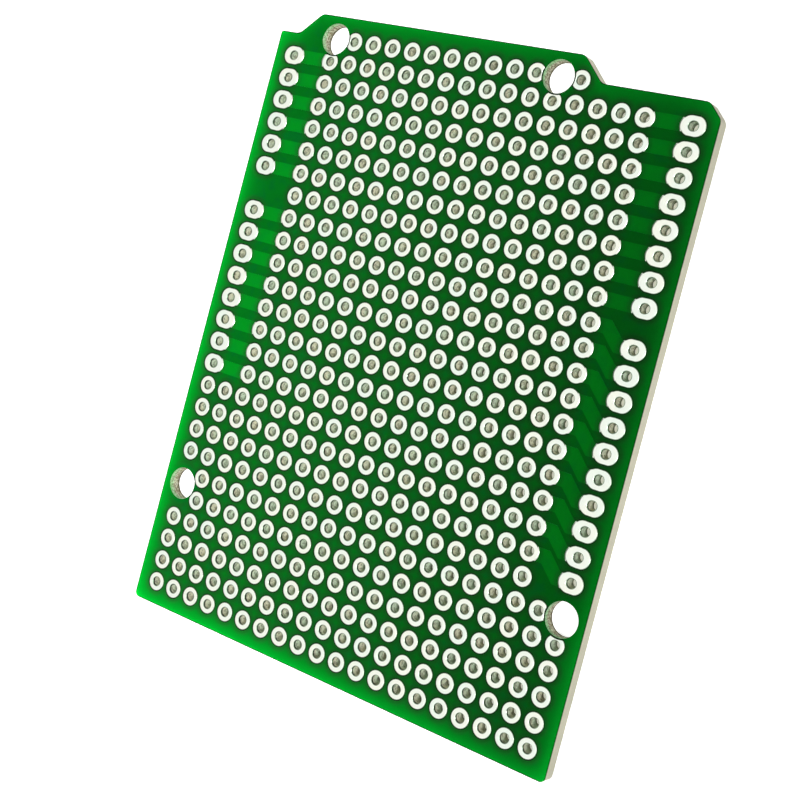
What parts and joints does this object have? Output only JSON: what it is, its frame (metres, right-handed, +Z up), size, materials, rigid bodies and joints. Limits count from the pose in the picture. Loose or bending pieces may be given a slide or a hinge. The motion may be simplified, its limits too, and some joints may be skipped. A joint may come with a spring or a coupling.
{
  "type": "prototype board",
  "caption": "Single-sided prototyping board with a stepped end, a grid of drilled and tinned lands, linked header rows along both sides and plain mounting holes.",
  "frame": {"origin": "centre of the board's footprint, on its bare underside", "axes": "+X across the board to its right edge, +Y along the board to its stepped end, +Z up through the copper side"},
  "size_m": [0.0534, 0.0684, 0.0017],
  "materials": {
    "laminate": "glass fibre and epoxy, satin, with a faint weave and rough cut edges",
    "solder_mask": "green glossy solder mask over the copper side",
    "tinned_copper": "bright reflowed tin on copper, slightly wavy"
  },
  "bodies": {
    "root": {"laminate": "laminate", "solder_mask": "solder_mask", "grid_lands": "tinned_copper", "trimmed_lands": "tinned_copper", "analog_lands": "tinned_copper", "power_lands": "tinned_copper", "digital_low_lands": "tinned_copper", "digital_high_lands": "tinned_copper"}
  },
  "joints": []
}
